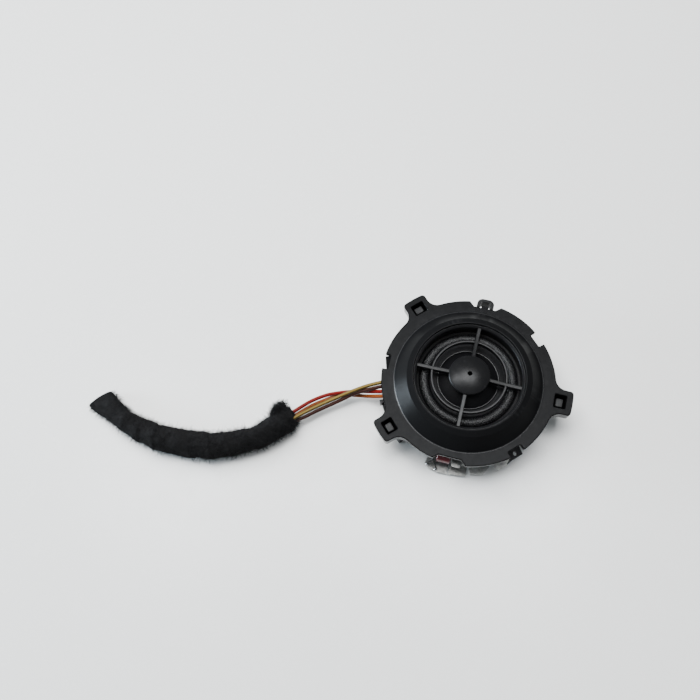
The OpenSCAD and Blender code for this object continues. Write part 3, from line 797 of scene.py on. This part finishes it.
def slot_cutter(angle):
    """A blind slot for a post, flared at the mouth."""
    levels = [(-3.0, -0.1), (-2.9, 0.0), (-0.55, 0.06), (-0.45, 0.36), (-0.3, 0.42), (-0.12, 0.5), (0.02, 0.68),
              (0.5, 0.68)]
    rings = []
    for above, grow in levels:
        z = FLANGE_TOP + above
        outline = rectangle(SLOT_RADIAL + grow, SLOT_ACROSS + grow, 0.55)
        rings.append([(x, y, z) for x, y in turned([(x + SLOT_R, y) for x, y in outline], angle)])
    return new_object("slot_cutter", *loft(rings), None)


def in_slot(place, slack=0.12):
    """Whether a point lies within one of the lugs' slots, below its mouth."""
    for angle in LUG_ANGLES:
        x, y = turned([(place[0], place[1])], -angle)[0]
        if abs(x - SLOT_R) < SLOT_RADIAL / 2 + slack and abs(y) < SLOT_ACROSS / 2 + slack:
            return place[2] < FLANGE_TOP - 0.4
    return False


def make_bezel():
    """The flange with its lugs, and the cone that rises from it to the grille's bore."""
    outline = flange_outline()
    plate_mesh = slab(outline, FLANGE_UNDER, FLANGE_TOP, low_round=0.12, chamfer=0.22)
    plate = new_object("mounting_flange_plate", *plate_mesh, BEZEL)
    blocks, pads = [], []
    for angle in LUG_ANGLES:
        points = [p for p in lug_outline() if p[0] > FLANGE_R * 0.955]
        root = [(29.6, points[-1][1] + 0.2), (29.6, points[0][1] - 0.2)]
        block = turned(points + root, angle)
        # a groove under the plate, then the block itself
        blocks.append(slab(inset(block, 0.32), FLANGE_UNDER - 0.35, FLANGE_UNDER + 0.1, 0.02, 0.02))
        blocks.append(slab(inset(block, 0.1), FLANGE_TOP - LUG_T, FLANGE_UNDER - 0.25, 0.08, 0.2))
        pad = turned([(x + SLOT_R, y) for x, y in rectangle(2.5, 3.1, 0.45)], angle)
        pads.append(slab(pad, FLANGE_TOP - 3.1, FLANGE_TOP - 1.8, 0.3, 0.05))
    # the catch that the basket's loop snaps over
    catch = [(x + 0.4, y + 29.0) for x, y in rectangle(2.6, 1.4, 0.3)]
    blocks.append(slab(catch, FLANGE_UNDER, FLANGE_TOP - 0.4, 0.2, 0.05))
    lugs = new_object("mounting_flange_lugs", *mesh_parts(*blocks), BEZEL)
    bore = new_object("bore_cutter", *loft([[(25.4 * math.cos(TAU * k / 240), 25.4 * math.sin(TAU * k / 240), z)
                                             for k in range(240)] for z in (10, 20)]), None)
    cut(plate, bore, *[slot_cutter(a) for a in LUG_ANGLES])
    cut(lugs, *[slot_cutter(a) for a in LUG_ANGLES])
    pad_piece = new_object("mounting_flange_slot_pads", *mesh_parts(*pads), SLOT_PAD)
    lip = FLANGE_TOP + LIP_H
    crest = FLANGE_TOP + CONE_H
    profile = rounded([(BORE_R, FLANGE_UNDER), (BORE_R + 1.3, FLANGE_UNDER), (BORE_R + 1.3, lip - 1.6),
                       (CONE_TOP_R - 0.4, lip - 1.8), (CONE_BASE_R - 1.4, FLANGE_TOP - 0.2),
                       (CONE_BASE_R - 1.4, FLANGE_UNDER), (CONE_BASE_R + 0.6, FLANGE_UNDER),
                       (CONE_BASE_R + 0.6, FLANGE_TOP + 0.005), (CONE_BASE_R + 0.02, FLANGE_TOP + 0.015, 0.5),
                       (CONE_TOP_R, crest - 0.08, 0.35), (BORE_R + 0.4, lip + 0.5, 0.35),
                       (BORE_R + 0.05, lip + 0.42, 0.12), (BORE_R, lip - 0.2, 0.1)], segments=6)
    cone = new_object("mounting_flange_cone", *revolved(profile, 360), BEZEL, smooth=35)
    paint(cone, CONE, lambda at, facing: 0.05 < facing.z < 0.93 and at.z > FLANGE_TOP + 0.1)
    # painted highlight: a thin band at the cone's foot takes the lighter crease plastic
    paint(cone, CREASE_PAINTED_HIGHLIGHT, lambda at, facing: at.z > FLANGE_TOP and facing.z > 0.5
          and abs(math.hypot(at.x, at.y) - CONE_BASE_R - 0.04) < 0.17)
    for piece in (plate, lugs, cone, pad_piece):
        shade(piece, 35)
        weigh(piece)
        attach(piece, "frame")

    def on_chamfer(at, facing):
        """Whether a face belongs to the chamfer round the rim; the slots' mouths don't count."""
        return 0.3 < facing.z < 0.95 and at.z > FLANGE_TOP - 0.4 and not in_slot((at.x, at.y, 0), 0.6)

    for piece in (plate, lugs):
        paint(piece, BEZEL_WALL, lambda at, facing: abs(facing.z) < 0.4 and not in_slot(at))
        # painted shade: the slots inside and the rim's chamfer take the near-black matte plastic
        paint(piece, SLOT_AND_RIM_PAINTED_SHADE, lambda at, facing: in_slot(at) or on_chamfer(at, facing))
    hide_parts("mounting_flange")


make_bezel()


# ---------- grille ----------

def make_grille():
    """The grille: its wall in the bezel's bore, one thin ring, four spokes and the domed centre disc."""
    wall_in = BORE_R - 1.13
    wall = rounded([(wall_in, 15.1), (BORE_R - 0.03, 15.1), (BORE_R - 0.03, 19.9), (BORE_R - 0.25, 19.95, 0.1),
                    (wall_in + 0.2, 19.5, 0.15), (wall_in, 19.2, 0.1)])
    parts = [revolved(wall, 300)]
    parts.append(revolved(rounded([(RING_R - 0.45, 17.9, 0.15), (RING_R + 0.45, 17.9, 0.15),
                                   (RING_R + 0.42, 19.5, 0.22), (RING_R - 0.42, 19.5, 0.22)]), 240))
    half = 0.75
    section = rounded([(-half, 0), (half, 0), (half - 0.06, 1, 0.28), (-half + 0.06, 1, 0.28)], segments=5)
    for angle in range(0, 360, 90):
        rings = []
        for radius, low, high in ((6.2, 18.6, 20.25), (9.0, 18.3, 19.95), (RING_R, 17.9, 19.58),
                                  (16.5, 17.8, 19.53), (BORE_R - 0.8, 17.7, 19.5)):
            ring = []
            for y, h in section:
                z = low + (high - low) * h if h < 0.5 else high - (1 - h)
                ring.append((radius, y, z))
            rings.append([(*turned([(x, y)], angle)[0], z) for x, y, z in reversed(ring)])
        parts.append(loft(rings))
    rise, top = 1.6, 22.5
    ball = (DISC_R ** 2 + rise ** 2) / (2 * rise)
    hole = PINHOLE_R + 0.04
    cap = []
    for k in range(25):
        radius = hole + (DISC_R - 0.28 - hole) * k / 24
        cap.append((radius, top - ball + math.sqrt(ball * ball - radius * radius)))
    edge = cap[-1][1]
    cap = cap + [(DISC_R - 0.1, edge - 0.12), (DISC_R, edge - 0.34), (DISC_R, 20.1), (DISC_R - 0.15, 19.92),
                 (DISC_R - 1.2, 19.9), (DISC_R - 1.4, 21.0), (PINHOLE_R, 21.1)]
    profile = list(reversed(cap)) + [(PINHOLE_R, cap[0][1] - 0.04)]
    parts.append(revolved(profile, 200))
    grille = new_object("grille_moulding", *mesh_parts(*parts), GRILLE, smooth=35)
    weigh(grille)
    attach(grille, "frame")
    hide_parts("grille")


make_grille()


# ---------- diaphragm ----------

def make_surround():
    """Coated textile roll: the weave's threads stand in the mesh, and the coating glistens on them."""
    inner, outer = DOME_R - 0.2, BORE_R - 0.35
    half, rise = 1.9, 1.3
    steps = 900
    stations = []
    radius = inner
    while radius < outer:
        stations.append(radius)
        radius += 0.09 if abs(radius - CREST_R) < half + 0.2 else 0.35
    stations.append(outer)

    def height(radius):
        off = abs(radius - CREST_R)
        return rise * math.cos(math.pi / 2 * off / half) ** 0.8 if off < half else 0.0

    vertices, faces = [], []
    for i, radius in enumerate(stations):
        roll = height(radius)
        for k in range(steps):
            turn = TAU * k / steps
            spot = Vector((radius * math.cos(turn), radius * math.sin(turn), 0))
            warp = math.sin(spot.x * TAU / 0.62 + 0.6 * noise.noise(spot * 0.7))
            weft = math.sin(spot.y * TAU / 0.62 + 0.6 * noise.noise(spot * 0.7 + Vector((5, 5, 5))))
            thread = 0.045 * (warp * weft) + 0.05 * noise.noise(spot * 1.7) + 0.03 * noise.noise(spot * 4.1)
            amount = 1.0 if roll > 0.05 else 0.4
            roll_z = roll * (1 + 0.03 * noise.noise(spot * 0.6))
            vertices.append((spot.x, spot.y, FOOT_Z + 0.2 + roll_z + thread * amount))
    under = len(vertices)
    for radius in stations:
        for k in range(steps):
            turn = TAU * k / steps
            under_z = FOOT_Z + 0.02 + height(radius) * 0.96
            vertices.append((radius * math.cos(turn), radius * math.sin(turn), under_z))
    count = len(stations)
    for i in range(count - 1):
        for k in range(steps):
            a, b = i * steps + k, i * steps + (k + 1) % steps
            faces.append((a, a + steps, b + steps, b))
            faces.append((under + b, under + b + steps, under + a + steps, under + a))
    for k in range(steps):
        b = (k + 1) % steps
        faces.append((k, b, under + b, under + k))
        last = (count - 1) * steps
        faces.append((last + b, last + k, under + last + k, under + last + b))
    n = Nodes("surround_textile")
    one = n.noise(0.3, 3, 0.6, stretch=(1, 3, 1))
    two = n.noise(0.3, 3, 0.6, stretch=(3, 1, 1))
    thread = n.math("MAXIMUM", one, two)
    n.set(Base_Color=n.mix(n.range(thread, 0.0, 1.0, 0.45, 0.7), (0.002, 0.002, 0.0022), (0.007, 0.007, 0.0075)),
          Roughness=n.range(n.noise(0.35, 4, 0.7), 0.1, 0.45, 0.35, 0.65), Specular_IOR_Level=0.7)
    n.set(Normal=n.bump(n.math("ADD", thread, n.noise(0.13, 3, 0.7)), 0.09))
    piece = new_object("surround_cloth", vertices, faces, n.material, smooth=80)
    # painted shade: the roll's flats take the darker, duller dome textile, so that they read black
    paint(piece, DOME, lambda at, facing: abs(math.hypot(at.x, at.y) - CREST_R) > half - 0.35)
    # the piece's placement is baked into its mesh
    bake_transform(piece)
    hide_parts("surround")


make_surround()


def make_dome():
    """Textile dome with its bead of glue."""
    rise = 3.2
    ball = (DOME_R ** 2 + rise ** 2) / (2 * rise)
    base = FOOT_Z + 0.2
    radii = [DOME_R * k / 40 for k in range(41)]
    outer = [(r, base + rise - ball + math.sqrt(ball * ball - r ** 2)) for r in radii]
    inner = [(r * 0.985, z - 0.18) for r, z in outer]
    profile = list(reversed(inner)) + outer
    dome = new_object("dome_cloth", *revolved(profile, 200), DOME, smooth=60)
    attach(dome, "diaphragm")
    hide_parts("dome")
    bead = []
    for k in range(16):
        turn = TAU * k / 16
        bead.append((DOME_R + 0.36 + 0.3 * math.cos(turn), base + 0.3 + 0.3 * math.sin(turn)))
    vertices, faces = revolved(bead, 300)
    moved = []
    for v in vertices:
        p = Vector(v)
        moved.append((p.x, p.y, p.z + 0.03 * noise.noise(p * 0.8)))
    ring = new_object("dome_joint_bead", moved, faces, GLUE, smooth=80)
    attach(ring, "diaphragm")
    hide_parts("dome_joint_ring")


make_dome()


# ---------- carried-over CAD nodes ----------

def dress(material, *names):
    """Gives CAD nodes a finished material."""
    for name in names:
        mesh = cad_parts[name].data
        mesh.materials.clear()
        mesh.materials.append(material)


dress(FRAME, "basket", "rear_cover", "diaphragm_ring")
dress(RUBBER, "wire_grommet", "capacitor_seal")
dress(FOAM, "clamp_gasket", "rear_pad")
dress(FELT_PAD, "damping_pad")
dress(PLATED, "top_plate", "motor_cup")
dress(NICKEL, "magnet")
dress(COPPER, "voice_coil", "lead_out_wires")
dress(FORMER, "coil_former")
dress(TINNED, "terminal_return", "terminal_link")
# painted shade: these two terminals take the darker copy of the tinned steel
dress(TINNED_PAINTED_SHADE, "terminal_wire_in", "terminal_cap_out")
dress(SOLDER, "solder_joints")
dress(LEAD, "capacitor_leads")
dress(LACQUER, "capacitor")
dress(OLIVE, "inner_wires")


# ---------- floor and light ----------

def make_stage():
    """A pale, faintly glossy table top."""
    n = Nodes("table_top")
    n.set(Base_Color=(0.74, 0.745, 0.73, 1), Roughness=n.range(n.noise(9, 3, 0.6), 0.2, 0.3, 0.3, 0.7),
          Specular_IOR_Level=0.5)
    n.set(Normal=n.bump(n.noise(14, 2, 0.5), 0.02))
    size = 900
    floor = new_object("table_top", [(-size, -size, 0), (size, -size, 0), (size, size, 0), (-size, size, 0)],
                       [(0, 1, 2, 3)], n.material)


def area_light(name, place, aim, width, height, power, colour=(1, 1, 1), mirrored=True):
    """A softbox; one that isn't mirrored lights the scene without showing in glossy surfaces."""
    data = bpy.data.lights.new(name, "AREA")
    data.shape, data.size, data.size_y = "RECTANGLE", width * MM, height * MM
    data.energy, data.color = power, colour
    lamp = bpy.data.objects.new(name, data)
    lamp.location = mm(*place)
    lamp.rotation_mode = "QUATERNION"
    lamp.rotation_quaternion = (mm(*aim) - mm(*place)).to_track_quat("-Z", "Y")
    lamp.visible_glossy = mirrored
    bpy.context.scene.collection.objects.link(lamp)


make_stage()
area_light("fill", (-330, 300, 760), (0, 0, 0), 700, 700, 18.0, (0.985, 0.99, 1.0), mirrored=False)
area_light("overhead", (0, 120, 700), (0, 0, 0), 400, 300, 3.4, (0.97, 0.985, 1.0))
area_light("key", (-320, 5, 660), (0, 0, 0), 190, 190, 1.3, (0.97, 0.985, 1.0))
area_light("window", (-600, -150, 95), (0, 0, 10), 250, 150, 7.0, (0.78, 0.9, 1.0))
world = bpy.data.worlds.new("room")
world.use_nodes = True
world.node_tree.nodes["Background"].inputs["Color"].default_value = (0.9, 0.95, 1.0, 1)
world.node_tree.nodes["Background"].inputs["Strength"].default_value = 0.3
bpy.context.scene.world = world
